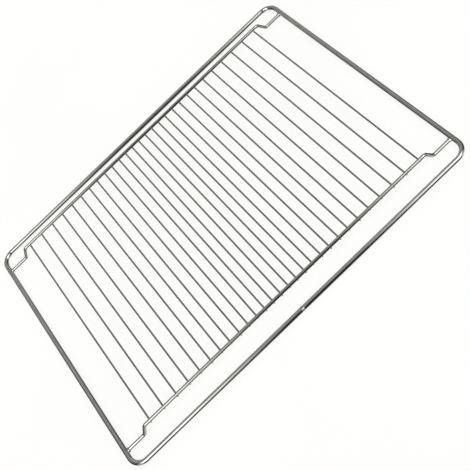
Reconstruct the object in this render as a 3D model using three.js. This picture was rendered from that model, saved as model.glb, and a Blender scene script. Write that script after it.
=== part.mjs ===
// Wire cooling rack: a bent and butt-welded frame, two carrier wires that step up
// near both ends, and a row of thin cross wires welded under the carriers.
// Millimetres, +Z up, X along the length. The frame's underside is the plane z = 0
// and the origin is the middle of the rack on that plane.
import * as THREE from 'three';

// Overall outside size of the frame.
const FRAME_LENGTH = 463;
const FRAME_WIDTH = 351;
const CORNER_RADIUS = 14.5; // to the middle of the wire

// Wire diameters.
const FRAME_WIRE = 5.5;
const CARRIER_WIRE = 4;
const CROSS_WIRE = 2;

// Carriers: set in from the frame, raised over their middle stretch. Insets run from
// the middle of the frame wire to the middle of the carrier.
const FRONT_CARRIER_INSET = 22.5;
const REAR_CARRIER_INSET = 25;
const CARRIER_RISE = 12.5; // middle of the end stretch to middle of the raised stretch
const STEP_TOP_X = 194.5; // where the raised stretch turns down
const STEP_FOOT_X = 202.5; // where the step turns level again
const STEP_BEND_RADIUS = 4.5;

// Cross wires: closest in the middle of the rack, wider apart towards both ends.
const MIDDLE_PITCH = 11;
const OUTWARD_PITCHES = [11, 11, 11, 12, 12, 13, 13, 14, 15, 16, 17, 18, 19];
const CROSS_REACH = 1.3; // past the middle of the carrier

// Butt weld that closes the frame, in the middle of its front side.
const WELD_LENGTH = 3;
const WELD_UPSET = 0.5; // how much thicker than the wire

// Air left between solids that are welded together on the real rack.
const JOINT_GAP = 0.3;

// Facets round a wire and along a bend. Even quarters put a flat underneath.
const THICK_WIRE_SIDES = 12;
const THIN_WIRE_SIDES = 8;
const CORNER_STEPS = 10;
const STEP_BEND_STEPS = 6;

const X_AXIS = new THREE.Vector3(1, 0, 0);
const Y_AXIS = new THREE.Vector3(0, 1, 0);
const Z_AXIS = new THREE.Vector3(0, 0, 1);

const CHROME = { color: 0xc9cbc8, metalness: 1, roughness: 0.18 };
const WELD_METAL = { color: 0xa9a9a4, metalness: 1, roughness: 0.35 };

const frameMiddleZ = FRAME_WIRE / 2;
const frameMiddleX = (FRAME_LENGTH - FRAME_WIRE) / 2;
const frameMiddleY = (FRAME_WIDTH - FRAME_WIRE) / 2;
const frontCarrierY = FRONT_CARRIER_INSET - frameMiddleY;
const rearCarrierY = frameMiddleY - REAR_CARRIER_INSET;
const carrierZ = frameMiddleZ + CARRIER_RISE;
const crossZ = carrierZ - (CARRIER_WIRE + CROSS_WIRE) / 2 - JOINT_GAP;
const crossFrontY = frontCarrierY - CROSS_REACH;
const crossRearY = rearCarrierY + CROSS_REACH;

// A station is a point on a wire's middle line with the direction of the wire there.
function station(point, tangent) {
  return { point, tangent };
}

// Stations round one bend of a polyline: an arc that touches both straight legs.
function bendStations(before, corner, after, radius, steps) {
  const inward = corner.clone().sub(before).normalize();
  const outward = after.clone().sub(corner).normalize();
  const turn = inward.angleTo(outward);
  const side = outward.clone().addScaledVector(inward, -outward.dot(inward)).normalize();
  const centre = corner.clone()
    .addScaledVector(inward, -radius * Math.tan(turn / 2))
    .addScaledVector(side, radius);
  return Array.from({ length: steps + 1 }, (_, i) => {
    const angle = (turn * i) / steps;
    const point = centre.clone()
      .addScaledVector(side, -radius * Math.cos(angle))
      .addScaledVector(inward, radius * Math.sin(angle));
    const tangent = inward.clone().multiplyScalar(Math.cos(angle))
      .addScaledVector(side, Math.sin(angle));
    return station(point, tangent);
  });
}

// Stations of a wire that follows a polyline, with every inner corner bent to the radius.
function bentWire(corners, radius, steps) {
  const last = corners.length - 1;
  const startTangent = corners[1].clone().sub(corners[0]).normalize();
  const endTangent = corners[last].clone().sub(corners[last - 1]).normalize();
  const bends = corners.slice(1, last).flatMap((corner, i) => (
    bendStations(corners[i], corner, corners[i + 2], radius, steps)
  ));
  return [station(corners[0], startTangent), ...bends, station(corners[last], endTangent)];
}

// One ring of points round a station. The diameter is measured across the flats.
function sectionRing({ point, tangent }, planeNormal, diameter, sides) {
  const across = planeNormal.clone().cross(tangent).normalize();
  const cornerRadius = diameter / 2 / Math.cos(Math.PI / sides);
  return Array.from({ length: sides }, (_, k) => {
    const angle = ((k + 0.5) * 2 * Math.PI) / sides;
    return point.clone()
      .addScaledVector(across, cornerRadius * Math.cos(angle))
      .addScaledVector(planeNormal, cornerRadius * Math.sin(angle));
  });
}

// Closed solid of a wire: section rings joined along the wire, with a flat cut at each end.
// The wire's middle line lies in one plane, whose normal is planeNormal.
function wireGeometry(stations, planeNormal, diameter, sides) {
  const rings = stations.map((s) => sectionRing(s, planeNormal, diameter, sides));
  const index = [];
  for (let i = 0; i + 1 < rings.length; i += 1) {
    for (let k = 0; k < sides; k += 1) {
      const a = i * sides + k;
      const b = i * sides + ((k + 1) % sides);
      index.push(a, b, b + sides, a, b + sides, a + sides);
    }
  }
  const lastRing = (rings.length - 1) * sides;
  for (let k = 1; k + 1 < sides; k += 1) {
    index.push(0, k + 1, k);
    index.push(lastRing, lastRing + k, lastRing + k + 1);
  }
  const geometry = new THREE.BufferGeometry().setFromPoints(rings.flat());
  geometry.setIndex(index);
  const faceted = geometry.toNonIndexed();
  faceted.computeVertexNormals();
  return faceted;
}

function namedMesh(name, geometry, look) {
  const mesh = new THREE.Mesh(geometry, new THREE.MeshStandardMaterial(look));
  mesh.name = name;
  return mesh;
}

// One length of thick wire bent round four corners. Its two ends face each other
// across the weld in the middle of the front side.
function outerFrame() {
  const endX = WELD_LENGTH / 2 + JOINT_GAP;
  const corners = [
    new THREE.Vector3(endX, -frameMiddleY, frameMiddleZ),
    new THREE.Vector3(frameMiddleX, -frameMiddleY, frameMiddleZ),
    new THREE.Vector3(frameMiddleX, frameMiddleY, frameMiddleZ),
    new THREE.Vector3(-frameMiddleX, frameMiddleY, frameMiddleZ),
    new THREE.Vector3(-frameMiddleX, -frameMiddleY, frameMiddleZ),
    new THREE.Vector3(-endX, -frameMiddleY, frameMiddleZ),
  ];
  const stations = bentWire(corners, CORNER_RADIUS, CORNER_STEPS);
  return namedMesh('outer_frame', wireGeometry(stations, Z_AXIS, FRAME_WIRE, THICK_WIRE_SIDES), CHROME);
}

// Upset metal between the frame's two ends, dressed flush with the resting plane.
function frameWeld() {
  const diameter = FRAME_WIRE + WELD_UPSET;
  const ends = [-WELD_LENGTH / 2, WELD_LENGTH / 2].map((x) => (
    station(new THREE.Vector3(x, -frameMiddleY, diameter / 2), X_AXIS)
  ));
  return namedMesh('frame_butt_weld', wireGeometry(ends, Z_AXIS, diameter, THICK_WIRE_SIDES), WELD_METAL);
}

// A carrier runs the long way. Both ends butt against the frame's short sides at the
// height of the frame wire, and the long middle stretch is stepped up.
function carrier(name, y) {
  const endX = frameMiddleX - FRAME_WIRE / 2 - JOINT_GAP;
  const corners = [
    new THREE.Vector3(-endX, y, frameMiddleZ),
    new THREE.Vector3(-STEP_FOOT_X, y, frameMiddleZ),
    new THREE.Vector3(-STEP_TOP_X, y, carrierZ),
    new THREE.Vector3(STEP_TOP_X, y, carrierZ),
    new THREE.Vector3(STEP_FOOT_X, y, frameMiddleZ),
    new THREE.Vector3(endX, y, frameMiddleZ),
  ];
  const stations = bentWire(corners, STEP_BEND_RADIUS, STEP_BEND_STEPS);
  return namedMesh(name, wireGeometry(stations, Y_AXIS, CARRIER_WIRE, THICK_WIRE_SIDES), CHROME);
}

// Places of the cross wires along X, left to right, mirrored about the middle.
function crossWirePlaces() {
  const right = [MIDDLE_PITCH / 2];
  for (const pitch of OUTWARD_PITCHES) {
    right.push(right[right.length - 1] + pitch);
  }
  const left = right.map((x) => -x).reverse();
  return [...left, ...right];
}

// A straight thin wire under both carriers.
function crossWire(x, number) {
  const ends = [crossFrontY, crossRearY].map((y) => (
    station(new THREE.Vector3(x, y, crossZ), Y_AXIS)
  ));
  const name = `cross_wire_${String(number).padStart(2, '0')}`;
  return namedMesh(name, wireGeometry(ends, Z_AXIS, CROSS_WIRE, THIN_WIRE_SIDES), CHROME);
}

const rack = new THREE.Group();
rack.name = 'cooling_rack';
rack.add(outerFrame());
rack.add(frameWeld());
rack.add(carrier('front_carrier', frontCarrierY));
rack.add(carrier('rear_carrier', rearCarrierY));
crossWirePlaces().forEach((x, i) => rack.add(crossWire(x, i + 1)));

export default rack;
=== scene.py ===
import math
import random

import bmesh
import bpy
import numpy as np
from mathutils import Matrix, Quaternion, Vector


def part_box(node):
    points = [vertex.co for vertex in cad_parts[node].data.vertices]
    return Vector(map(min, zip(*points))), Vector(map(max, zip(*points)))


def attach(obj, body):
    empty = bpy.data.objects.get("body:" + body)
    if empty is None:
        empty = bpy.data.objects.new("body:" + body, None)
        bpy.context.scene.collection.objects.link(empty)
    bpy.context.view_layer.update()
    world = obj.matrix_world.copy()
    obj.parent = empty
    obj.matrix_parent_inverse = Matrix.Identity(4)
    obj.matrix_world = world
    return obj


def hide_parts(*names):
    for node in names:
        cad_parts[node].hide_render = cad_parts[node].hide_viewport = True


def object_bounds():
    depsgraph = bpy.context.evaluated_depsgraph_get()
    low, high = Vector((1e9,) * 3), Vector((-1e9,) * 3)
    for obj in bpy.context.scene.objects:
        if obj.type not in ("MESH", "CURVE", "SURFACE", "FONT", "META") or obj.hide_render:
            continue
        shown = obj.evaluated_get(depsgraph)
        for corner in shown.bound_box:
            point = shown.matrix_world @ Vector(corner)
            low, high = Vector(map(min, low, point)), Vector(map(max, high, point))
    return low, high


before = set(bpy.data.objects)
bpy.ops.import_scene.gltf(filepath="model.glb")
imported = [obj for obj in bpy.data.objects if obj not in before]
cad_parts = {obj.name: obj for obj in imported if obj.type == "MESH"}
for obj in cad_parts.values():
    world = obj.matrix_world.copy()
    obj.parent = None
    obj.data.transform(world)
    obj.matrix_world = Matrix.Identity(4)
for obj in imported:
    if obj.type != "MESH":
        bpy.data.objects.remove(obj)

MM = 0.001
CAD_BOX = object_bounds()

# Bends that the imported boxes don't give, as in the CAD part.
CORNER_RADIUS = 14.5 * MM
STEP_TOP_X = 194.5 * MM
STEP_FOOT_X = 202.5 * MM
STEP_BEND_RADIUS = 4.5 * MM

# How finely the round wires are meshed.
FRAME_SIDES = 40
CARRIER_SIDES = 32
CROSS_SIDES = 20
BEND_RINGS = 18
EDGE_RINGS = 4
RING_SPACING = 2.5 * MM
CUT_EDGE_RADIUS = 0.3 * MM

# Small irregularities of a welded wire rack.
CROSS_BOW = 0.2 * MM
TIP_TRIM = (0.2 * MM, 0.9 * MM)
RANDOM_SEED = 28

# Weld metal: half sizes of the lumps along X, Y and Z, where the end beads sit from the
# frame's inner side, how far the carriers sink into it, and how uneven the lumps are.
SPOT_LUMP = (1.35 * MM, 1.25 * MM, 0.75 * MM)
END_BEAD = (2.3 * MM, 2.6 * MM, 2.5 * MM)
END_BEAD_INSET = 0.9 * MM
CARRIER_SINK = 0.4 * MM
LUMP_UNEVENNESS = 0.12
WELD_TINT_REACH = 4 * MM

# Butt weld of the frame: the collar round it, and the seam between the wire's ends inside.
COLLAR_RINGS = 28
COLLAR_SIDES = 56
COLLAR_OVERHANG = 0.6 * MM
COLLAR_SINK = 0.12 * MM
WELD_SEAM = 0.1 * MM
LIP_RISE = 0.04 * MM
LIP_PLACE = 0.8 * MM
LIP_SPACING = 2.6 * MM

# The ground: a disc that curves up into a wall.
BOWL_RADIUS = 3.0
BOWL_CURVE = 1.0
BOWL_HEIGHT = 3.0
BOWL_SIDES = 96
BOWL_CURVE_STEPS = 16
BOWL_DROP = 0.05 * MM
GROUND_GLOW = 0.84

# Two soft boxes, mirrored left and right.
SOFT_BOX_INNER_X = 0.55
SOFT_BOX_OUTER_X = 1.35
SOFT_BOX_Y = -0.71
SOFT_BOX_Z = 1.09
SOFT_BOX_DEPTH = 1.0
SOFT_BOX_RADIANCE = 1.5

# What the chrome mirrors, by direction. Brightness in the world's own units.
OVERHEAD_WAY = (0.0, -0.574, 0.819)
OVERHEAD_GLOW = 2.1
SLOT_MIDDLE = 0.01
SLOT_EDGES = (0.045, 0.28)
ROOM_LIGHT = (0.02, 0.40)
GROUND_LIGHT = 1.2
LOW_SIDE_LIGHT = 0.6

# Camera: distances in metres, angles in degrees, lens in millimetres, shifts in picture widths.
CAMERA_TARGET = Vector((23.6, -39.7, 2.75)) * MM
CAMERA_DISTANCE = 0.9264
CAMERA_AZIMUTH = -0.843
CAMERA_ELEVATION = 52.63
CAMERA_ROLL = -43.29
CAMERA_LENS = 65.18
CAMERA_SENSOR = 36
CAMERA_SHIFT = (-0.0222, -0.0403)


def unit(v):
    return v / np.linalg.norm(v)


# ---------------------------------------------------------------- wires


def straight_run(a, b):
    """Evenly spaced stations (point, direction) from a towards b, without b."""
    count = max(1, math.ceil(np.linalg.norm(b - a) / RING_SPACING))
    return [(a + (b - a) * i / count, unit(b - a)) for i in range(count)]


def bend(before, corner, after, radius):
    """Stations round one bend that touches both straight legs."""
    inward, outward = unit(corner - before), unit(after - corner)
    turn = math.acos(float(np.clip(inward @ outward, -1, 1)))
    side = unit(outward - inward * (outward @ inward))
    centre = corner - inward * radius * math.tan(turn / 2) + side * radius
    angles = [turn * i / BEND_RINGS for i in range(BEND_RINGS + 1)]
    return [
        (
            centre + radius * (inward * math.sin(a) - side * math.cos(a)),
            inward * math.cos(a) + side * math.sin(a),
        )
        for a in angles
    ]


def bent_path(corners, radius):
    """Stations of a wire that follows a polyline with every inner corner bent to the radius."""
    corners = [np.array(c, float) for c in corners]
    stations, here = [], corners[0]
    for before, corner, after in zip(corners, corners[1:], corners[2:]):
        arc = bend(before, corner, after, radius)
        stations += straight_run(here, arc[0][0]) + arc[:-1]
        here = arc[-1][0]
    return stations + straight_run(here, corners[-1]) + [(corners[-1], unit(corners[-1] - here))]


def cut_end(station, radius, inward):
    """Rings that round off the edge of a cut end, outermost first."""
    point, direction = station
    turns = [i * math.pi / 2 / EDGE_RINGS for i in range(EDGE_RINGS + 1)]
    return [
        (
            (point + direction * inward * CUT_EDGE_RADIUS * (1 - math.cos(t)), direction),
            radius - CUT_EDGE_RADIUS * (1 - math.sin(t)),
        )
        for t in turns
    ]


def round_wire(name, stations, normal, radius, sides, welds):
    """A round wire along stations in the plane with the given normal.

    Every vertex stores its place in the straightened wire, which the drawing lines follow,
    and its nearness to the welds."""
    rows = cut_end(stations[0], radius, 1)
    rows += [(station, radius) for station in stations[1:-1]]
    rows += reversed(cut_end(stations[-1], radius, -1))
    points = np.array([station[0] for station, _ in rows])
    directions = np.array([station[1] for station, _ in rows])
    radii = np.array([r for _, r in rows])[:, None, None]
    across = np.cross(np.array(normal, float), directions)
    angles = np.arange(sides) * 2 * math.pi / sides
    cos, sin = np.cos(angles)[None, :, None], np.sin(angles)[None, :, None]
    outward = across[:, None, :] * cos + np.array(normal, float) * sin
    surface = points[:, None, :] + outward * radii
    along = np.concatenate([[0], np.cumsum(np.linalg.norm(np.diff(points, axis=0), axis=1))])
    length = np.broadcast_to(along[:, None, None], (*surface.shape[:2], 1))
    straight = np.concatenate([length, radii * cos, radii * sin], axis=2)
    rings = len(rows)
    faces = []
    for i in range(rings - 1):
        for k in range(sides):
            a, b = i * sides + k, i * sides + (k + 1) % sides
            faces.append((a, b, b + sides, a + sides))
    faces += [tuple(reversed(range(sides))), tuple(range((rings - 1) * sides, rings * sides))]
    verts = surface.reshape(-1, 3)
    piece = surface_object(name, verts, faces)
    store(piece.data, "straight_wire", "FLOAT_VECTOR", "vector", straight)
    store(piece.data, "weld_nearness", "FLOAT", "value", weld_nearness(verts, welds))
    return piece


def weld_nearness(verts, welds):
    """1 at a weld, falling to 0 a few millimetres away."""
    nearness = np.zeros(len(verts))
    for place in welds:
        distance = np.linalg.norm(verts - np.array(place), axis=1)
        nearness = np.maximum(nearness, np.exp(-((distance / WELD_TINT_REACH) ** 2)))
    return nearness


def surface_object(name, verts, faces):
    """A mesh object from points and faces, smooth but for its flat cut ends."""
    mesh = bpy.data.meshes.new(name)
    mesh.from_pydata([tuple(v) for v in verts], [], faces)
    mesh.polygons.foreach_set("use_smooth", [len(f) <= 4 for f in faces])
    mesh.update()
    piece = bpy.data.objects.new(name, mesh)
    bpy.context.scene.collection.objects.link(piece)
    return piece


def store(mesh, name, kind, field, values):
    """Keeps one value per vertex under a name that a material can read."""
    data = mesh.attributes.new(name, kind, "POINT").data
    data.foreach_set(field, np.asarray(values, np.float32).ravel())


# ---------------------------------------------------------------- weld metal


def weld_lumps(name, places, size, rng):
    """Small lumps of squeezed-out weld metal, one at each place, slightly different in size."""
    mesh_maker = bmesh.new()
    for place in places:
        scale = [s * rng.uniform(0.9, 1.1) for s in size]
        ball = bmesh.ops.create_icosphere(mesh_maker, subdivisions=3, radius=1.0)["verts"]
        phase = [rng.uniform(0, 2 * math.pi) for _ in range(3)]
        for v in ball:
            wobble = 1 + LUMP_UNEVENNESS * sum(math.sin(3 * c + p) for c, p in zip(v.co, phase)) / 3
            v.co = Vector(place) + Vector(c * s * wobble for c, s in zip(v.co, scale))
    mesh = bpy.data.meshes.new(name)
    mesh_maker.to_mesh(mesh)
    mesh_maker.free()
    mesh.polygons.foreach_set("use_smooth", [True] * len(mesh.polygons))
    piece = bpy.data.objects.new(name, mesh)
    bpy.context.scene.collection.objects.link(piece)
    return piece


def finish_piece(piece, material, slot, *nodes):
    """Gives a piece its material and its place in the assembly."""
    piece.data.materials.append(material)
    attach(piece, "root")
    if nodes:
        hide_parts(*nodes)


# ---------------------------------------------------------------- materials


class Nodes:
    """Short calls for building the shader tree of a material or a world."""

    def __init__(self, owner, shader="Principled BSDF"):
        self.material = owner
        owner.use_nodes = True
        self.tree = owner.node_tree
        self.shader = self.tree.nodes[shader]

    def add(self, kind, links=(), **values):
        node = self.tree.nodes.new(kind)
        for key, value in values.items():
            setattr(node, key, value)
        for socket, source in links:
            if hasattr(source, "is_output"):
                self.tree.links.new(source, node.inputs[socket])
            else:
                node.inputs[socket].default_value = source
        return node

    def drive(self, socket, source):
        self.tree.links.new(source, self.shader.inputs[socket])

    def noise(self, vector, scale, detail=2.0):
        node = self.add("ShaderNodeTexNoise", [("Vector", vector), ("Scale", scale), ("Detail", detail)])
        return node.outputs["Fac"]

    def spread(self, source, low, high, from_low=0.3, from_high=0.7, curve="LINEAR"):
        """Carries a range of values over to another one."""
        links = [("Value", source), ("From Min", from_low), ("From Max", from_high)]
        links += [("To Min", low), ("To Max", high)]
        return self.add("ShaderNodeMapRange", links, interpolation_type=curve).outputs["Result"]

    def math(self, operation, *values):
        return self.add("ShaderNodeMath", list(enumerate(values)), operation=operation).outputs[0]

    def lean(self, direction, towards):
        """How far a direction leans towards a fixed one, from -1 to 1."""
        links = [(0, direction), (1, towards)]
        return self.add("ShaderNodeVectorMath", links, operation="DOT_PRODUCT").outputs["Value"]

    def mix(self, factor, a, b):
        node = self.add("ShaderNodeMix", data_type="RGBA")
        for socket, source in zip((node.inputs[0], node.inputs[6], node.inputs[7]), (factor, a, b)):
            if hasattr(source, "is_output"):
                self.tree.links.new(source, socket)
            else:
                socket.default_value = source
        return node.outputs[2]


def plated_wire(name, dark, bright, smooth, rough, line_depth):
    """Chrome plate over drawn steel wire: drawing lines along it, faint pits, and a duller,
    slightly straw-coloured ring round every weld."""
    n = Nodes(bpy.data.materials.new(name))
    wire = n.add("ShaderNodeAttribute", attribute_name="straight_wire").outputs["Vector"]
    weld = n.add("ShaderNodeAttribute", attribute_name="weld_nearness").outputs["Fac"]
    place = n.add("ShaderNodeTexCoord").outputs["Object"]
    stretch = [("Vector", wire), ("Scale", (50.0, 5200.0, 5200.0))]
    lines = n.noise(n.add("ShaderNodeMapping", stretch).outputs["Vector"], 1.0, 3.0)
    cloud = n.noise(place, 60.0, 3.0)
    pits = n.noise(place, 2600.0, 1.0)
    plate = n.mix(n.spread(cloud, 0.0, 1.0), dark, bright)
    tarnish = n.math("MULTIPLY", weld, n.spread(pits, 0.25, 0.75))
    n.drive("Base Color", n.mix(tarnish, plate, (0.40, 0.37, 0.31, 1)))
    polish = n.spread(lines, smooth, rough)
    n.drive("Roughness", n.math("MULTIPLY_ADD", weld, 0.16, polish))
    height = n.math("MULTIPLY_ADD", pits, 0.35, lines)
    bump = n.add("ShaderNodeBump", [("Strength", line_depth), ("Distance", 0.02 * MM), ("Height", height)])
    n.drive("Normal", bump.outputs["Normal"])
    n.shader.inputs["Metallic"].default_value = 1.0
    return n.material


def weld_metal(name):
    """Plated weld metal: a little duller than the wire, with a lumpy skin."""
    n = Nodes(bpy.data.materials.new(name))
    place = n.add("ShaderNodeTexCoord").outputs["Object"]
    lumps = n.noise(place, 900.0, 3.0)
    cloud = n.noise(place, 300.0, 2.0)
    n.drive("Base Color", n.mix(n.spread(cloud, 0.0, 1.0), (0.50, 0.495, 0.475, 1), (0.66, 0.66, 0.64, 1)))
    n.drive("Roughness", n.spread(lumps, 0.12, 0.26))
    bump = n.add("ShaderNodeBump", [("Strength", 0.4), ("Distance", 0.06 * MM), ("Height", lumps)])
    n.drive("Normal", bump.outputs["Normal"])
    n.shader.inputs["Metallic"].default_value = 1.0
    return n.material


# ---------------------------------------------------------------- the rack


frame_lo, frame_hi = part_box("outer_frame")
frame_radius = (frame_hi.z - frame_lo.z) / 2
side_x = frame_hi.x - frame_radius
side_y = frame_hi.y - frame_radius
frame_z = frame_lo.z + frame_radius

weld_lo, weld_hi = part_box("frame_butt_weld")
weld_half = (weld_hi.x - weld_lo.x) / 2

carrier_boxes = {name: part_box(name) for name in ("front_carrier", "rear_carrier")}
cross_names = sorted(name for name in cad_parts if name.startswith("cross_wire"))
cross_boxes = {name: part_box(name) for name in cross_names}
cross_lo, cross_hi = cross_boxes[cross_names[0]]
cross_radius = (cross_hi.x - cross_lo.x) / 2
cross_z = (cross_lo.z + cross_hi.z) / 2
cross_places = [(lo.x + hi.x) / 2 for lo, hi in cross_boxes.values()]

frame_chrome = plated_wire(
    "frame_chrome", dark=(0.56, 0.565, 0.55, 1), bright=(0.68, 0.685, 0.67, 1),
    smooth=0.04, rough=0.11, line_depth=0.18,
)
carrier_chrome = plated_wire(
    "carrier_chrome", dark=(0.52, 0.525, 0.51, 1), bright=(0.62, 0.625, 0.61, 1),
    smooth=0.03, rough=0.08, line_depth=0.14,
)
cross_chrome = plated_wire(
    "cross_chrome", dark=(0.42, 0.425, 0.41, 1), bright=(0.54, 0.545, 0.53, 1),
    smooth=0.14, rough=0.28, line_depth=0.4,
)
weld_chrome = weld_metal("weld_chrome")


def frame_wire():
    """One wire bent round four corners, its ends meeting inside the weld on the front side."""
    corners = [
        (WELD_SEAM / 2, -side_y, frame_z),
        (side_x, -side_y, frame_z),
        (side_x, side_y, frame_z),
        (-side_x, side_y, frame_z),
        (-side_x, -side_y, frame_z),
        (-WELD_SEAM / 2, -side_y, frame_z),
    ]
    welds = [(0, -side_y, frame_z)]
    for lo, hi in carrier_boxes.values():
        welds += [(x, (lo.y + hi.y) / 2, frame_z) for x in (-side_x + frame_radius, side_x - frame_radius)]
    path = bent_path(corners, CORNER_RADIUS)
    piece = round_wire("frame_wire", path, (0, 0, 1), frame_radius, FRAME_SIDES, welds)
    finish_piece(piece, frame_chrome, "frame_wire", "outer_frame")


def frame_weld(rng):
    """Upset collar of the butt weld: two low lips with a dip between them, dressed flat below."""
    reach = weld_half + COLLAR_OVERHANG
    root = frame_radius - COLLAR_SINK
    lip_height = (weld_hi.z - weld_lo.z) / 2 - frame_radius + LIP_RISE
    phases = [rng.uniform(0, 2 * math.pi) for _ in range(4)]
    verts, faces = [], []
    for i in range(COLLAR_RINGS + 1):
        x = reach * (2 * i / COLLAR_RINGS - 1)
        fade = math.cos(x / reach * math.pi / 2) ** 0.5
        lips = 0.55 + 0.45 * math.cos(2 * math.pi * (abs(x) - LIP_PLACE) / LIP_SPACING)
        for k in range(COLLAR_SIDES):
            a = 2 * math.pi * k / COLLAR_SIDES
            ripple = 1 + 0.16 * math.sin(3 * a + phases[0]) + 0.1 * math.sin(7 * a + phases[1] + 900 * x)
            r = root + (lip_height + COLLAR_SINK) * fade * lips * ripple
            z = frame_z + r * math.sin(a)
            verts.append((x, -side_y + r * math.cos(a), max(z, weld_lo.z)))
    for i in range(COLLAR_RINGS):
        for k in range(COLLAR_SIDES):
            a, b = i * COLLAR_SIDES + k, i * COLLAR_SIDES + (k + 1) % COLLAR_SIDES
            faces.append((a, b, b + COLLAR_SIDES, a + COLLAR_SIDES))
    last_ring = COLLAR_RINGS * COLLAR_SIDES
    faces += [tuple(reversed(range(COLLAR_SIDES))), tuple(range(last_ring, last_ring + COLLAR_SIDES))]
    piece = surface_object("frame_weld_collar", verts, faces)
    finish_piece(piece, weld_chrome, "weld_metal", "frame_butt_weld")


def carrier(name, box):
    """A stepped carrier wire. Its ends run on into the weld against the frame."""
    lo, hi = box
    radius = (hi.y - lo.y) / 2
    y, top = (lo.y + hi.y) / 2, hi.z - radius
    end_x = side_x - frame_radius + CARRIER_SINK
    corners = [
        (-end_x, y, frame_z),
        (-STEP_FOOT_X, y, frame_z),
        (-STEP_TOP_X, y, top),
        (STEP_TOP_X, y, top),
        (STEP_FOOT_X, y, frame_z),
        (end_x, y, frame_z),
    ]
    welds = [(x, y, top - radius) for x in cross_places] + [(-end_x, y, frame_z), (end_x, y, frame_z)]
    path = bent_path(corners, STEP_BEND_RADIUS)
    piece = round_wire(name + "_wire", path, (0, 1, 0), radius, CARRIER_SIDES, welds)
    finish_piece(piece, carrier_chrome, "carrier_wire", name)


def cross_wire(name, box, rng):
    """A thin straightened wire, bowed by a hair, with snipped ends."""
    lo, hi = box
    x = (lo.x + hi.x) / 2
    front, rear = lo.y + rng.uniform(*TIP_TRIM), hi.y - rng.uniform(*TIP_TRIM)
    bow_x, bow_z = rng.uniform(-CROSS_BOW, CROSS_BOW), rng.uniform(-CROSS_BOW, 0)
    count = math.ceil((rear - front) / RING_SPACING)
    stations = []
    for i in range(count + 1):
        share = i / count
        arch = math.sin(math.pi * share)
        point = np.array([x + bow_x * arch, front + (rear - front) * share, cross_z + bow_z * arch])
        stations.append((point, np.array([0.0, 1.0, 0.0])))
    welds = [(x, (b[0].y + b[1].y) / 2, cross_z + cross_radius) for b in carrier_boxes.values()]
    piece = round_wire(name + "_round", stations, (0, 0, 1), cross_radius, CROSS_SIDES, welds)
    finish_piece(piece, cross_chrome, "cross_wire", name)


def crossing_welds(rng):
    """Squeezed-out metal where each cross wire is welded under a carrier."""
    for name, (lo, hi) in carrier_boxes.items():
        seam = (cross_z + cross_radius + hi.z - (hi.y - lo.y)) / 2
        places = [(x, (lo.y + hi.y) / 2, seam) for x in cross_places]
        piece = weld_lumps(name + "_spot_welds", places, SPOT_LUMP, rng)
        finish_piece(piece, weld_chrome, "weld_metal")


def end_welds(rng):
    """Beads where the carriers butt against the inside of the frame's short sides."""
    inner_x = side_x - frame_radius
    places = [
        (sign * (inner_x - END_BEAD_INSET), (lo.y + hi.y) / 2, frame_z)
        for lo, hi in carrier_boxes.values()
        for sign in (-1, 1)
    ]
    piece = weld_lumps("carrier_end_welds", places, END_BEAD, rng)
    finish_piece(piece, weld_chrome, "weld_metal")


def build_rack():
    rng = random.Random(RANDOM_SEED)
    frame_wire()
    frame_weld(rng)
    for name, box in carrier_boxes.items():
        carrier(name, box)
    for name, box in cross_boxes.items():
        cross_wire(name, box, rng)
    crossing_welds(rng)
    end_welds(rng)


# ---------------------------------------------------------------- studio


def bowl_profile():
    """Radius and height of each ring of the ground, from the flat disc's edge to the rim."""
    flat = BOWL_RADIUS - BOWL_CURVE
    turns = [math.pi / 2 * i / BOWL_CURVE_STEPS for i in range(1, BOWL_CURVE_STEPS + 1)]
    curve = [(flat + BOWL_CURVE * math.sin(a), BOWL_CURVE - BOWL_CURVE * math.cos(a)) for a in turns]
    return [(flat, 0.0), *curve, (BOWL_RADIUS, BOWL_HEIGHT)]


def pale_bowl():
    """A wide floor that curves up into a wall all round. It glows, and the chrome doesn't mirror it."""
    maker = bmesh.new()
    angles = np.linspace(0, 2 * math.pi, BOWL_SIDES, False)
    rings = [
        [maker.verts.new((r * math.cos(t), r * math.sin(t), z)) for t in angles]
        for r, z in bowl_profile()
    ]
    maker.faces.new(rings[0])
    for low, high in zip(rings, rings[1:]):
        for k in range(BOWL_SIDES):
            after = (k + 1) % BOWL_SIDES
            maker.faces.new((low[k], high[k], high[after], low[after]))
    mesh = bpy.data.meshes.new("pale_bowl")
    maker.to_mesh(mesh)
    maker.free()
    mesh.polygons.foreach_set("use_smooth", [True] * len(mesh.polygons))
    bowl = bpy.data.objects.new("pale_bowl", mesh)
    bpy.context.scene.collection.objects.link(bowl)
    bowl.location.z = CAD_BOX[0].z - BOWL_DROP
    bowl.visible_glossy = False
    mesh.materials.append(pale_ground())


def pale_ground():
    """Matt ground that gives off most of its own light, so the rack hardly shades it."""
    n = Nodes(bpy.data.materials.new("pale_ground"))
    tone = n.noise(n.add("ShaderNodeTexCoord").outputs["Object"], 3.0)
    n.drive("Base Color", n.mix(n.spread(tone, 0.0, 1.0), (0.13, 0.13, 0.128, 1), (0.15, 0.15, 0.148, 1)))
    n.shader.inputs["Roughness"].default_value = 0.9
    n.shader.inputs["Emission Color"].default_value = (1.0, 1.0, 0.987, 1)
    n.shader.inputs["Emission Strength"].default_value = GROUND_GLOW
    return n.material


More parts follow.
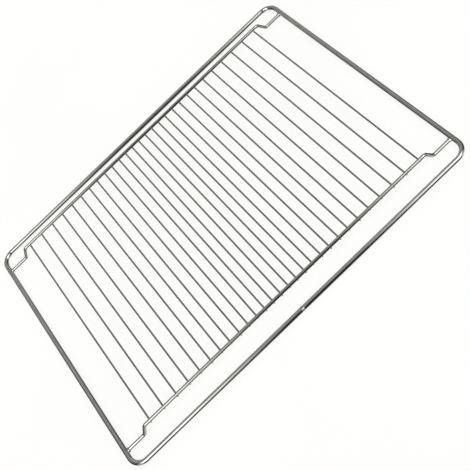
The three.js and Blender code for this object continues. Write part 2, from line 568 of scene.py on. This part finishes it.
def sky():
    """What the chrome mirrors: a dim room, a glow overhead with a dark slot for the camera,
    some light low down beside the rack, and light coming up from the ground."""
    world = bpy.data.worlds.new("room")
    bpy.context.scene.world = world
    n = Nodes(world, "Background")
    way = n.add("ShaderNodeTexCoord").outputs["Generated"]
    sideways = n.lean(way, (1.0, 0.0, 0.0))

    # The room is brightest up and behind, and dims to both sides, more to the left.
    room = n.spread(n.lean(way, (0.0, 0.6, 0.6)), *ROOM_LIGHT, -0.15, 0.7, "SMOOTHSTEP")
    off_light_side = n.math("ABSOLUTE", n.math("SUBTRACT", sideways, 0.12))
    room_light = n.math("MULTIPLY", room, n.spread(off_light_side, 1.0, 0.55, 0.1, 0.9, "SMOOTHSTEP"))

    off_slot = n.math("ABSOLUTE", n.math("SUBTRACT", sideways, SLOT_MIDDLE))
    beside_slot = n.spread(off_slot, 0.0, 1.0, *SLOT_EDGES, "SMOOTHSTEP")
    overhead = n.spread(n.lean(way, OVERHEAD_WAY), 0.0, OVERHEAD_GLOW, 0.74, 0.90, "SMOOTHSTEP")

    beside = n.spread(n.math("ABSOLUTE", sideways), 0.0, LOW_SIDE_LIGHT, 0.45, 0.75, "SMOOTHSTEP")
    in_front = n.spread(n.lean(way, (0.0, -1.0, 0.0)), 0.0, 1.0, 0.1, 0.55, "SMOOTHSTEP")
    behind = n.spread(n.lean(way, (0.0, 1.0, 0.0)), 0.0, 0.35, 0.58, 0.75, "SMOOTHSTEP")
    low_light = n.math("MULTIPLY", beside, n.math("MAXIMUM", in_front, behind))

    # Less light comes up from the ground below the slot than to its sides.
    below = n.spread(n.lean(way, (0.0, 0.0, -1.0)), 0.0, GROUND_LIGHT, 0.54, 0.90, "SMOOTHSTEP")
    ground_light = n.math("MULTIPLY", below, n.spread(beside_slot, 0.45, 1.0, 0.0, 0.6))

    strength = n.math("MULTIPLY_ADD", beside_slot, overhead, room_light)
    strength = n.math("ADD", strength, n.math("ADD", low_light, ground_light))
    n.drive("Strength", strength)
    n.shader.inputs["Color"].default_value = (1.0, 1.0, 0.97, 1)


def soft_box(name, side):
    """A rectangular studio light overhead on one side, tipped towards the rack."""
    width = SOFT_BOX_OUTER_X - SOFT_BOX_INNER_X
    lamp = bpy.data.lights.new(name, "AREA")
    lamp.shape = "RECTANGLE"
    lamp.size, lamp.size_y = width, SOFT_BOX_DEPTH
    lamp.energy = SOFT_BOX_RADIANCE * math.pi * width * SOFT_BOX_DEPTH
    box = bpy.data.objects.new(name, lamp)
    box.location = (side * (SOFT_BOX_INNER_X + SOFT_BOX_OUTER_X) / 2, SOFT_BOX_Y, SOFT_BOX_Z)
    box.rotation_mode = "QUATERNION"
    box.rotation_quaternion = Vector((0, SOFT_BOX_Y, SOFT_BOX_Z)).to_track_quat("Z", "Y")
    bpy.context.scene.collection.objects.link(box)


def studio():
    pale_bowl()
    sky()
    soft_box("overhead_left", -1)
    soft_box("overhead_right", 1)


def camera():
    """Looks down on the rack from the front, rolled so that the long sides run up to the right."""
    a, e = math.radians(CAMERA_AZIMUTH), math.radians(CAMERA_ELEVATION)
    back = Vector((math.sin(a) * math.cos(e), -math.cos(a) * math.cos(e), math.sin(e)))
    data = bpy.data.cameras.new("camera")
    data.sensor_width = CAMERA_SENSOR
    data.lens = CAMERA_LENS
    data.shift_x, data.shift_y = CAMERA_SHIFT
    view = bpy.data.objects.new("camera", data)
    view.location = CAMERA_TARGET + back * CAMERA_DISTANCE
    view.rotation_mode = "QUATERNION"
    turn = Quaternion((0, 0, 1), math.radians(CAMERA_ROLL))
    view.rotation_quaternion = (-back).to_track_quat("-Z", "Y") @ turn
    bpy.context.scene.collection.objects.link(view)
    bpy.context.scene.camera = view


build_rack()
studio()
camera()
bpy.context.scene.view_settings.view_transform = "Standard"
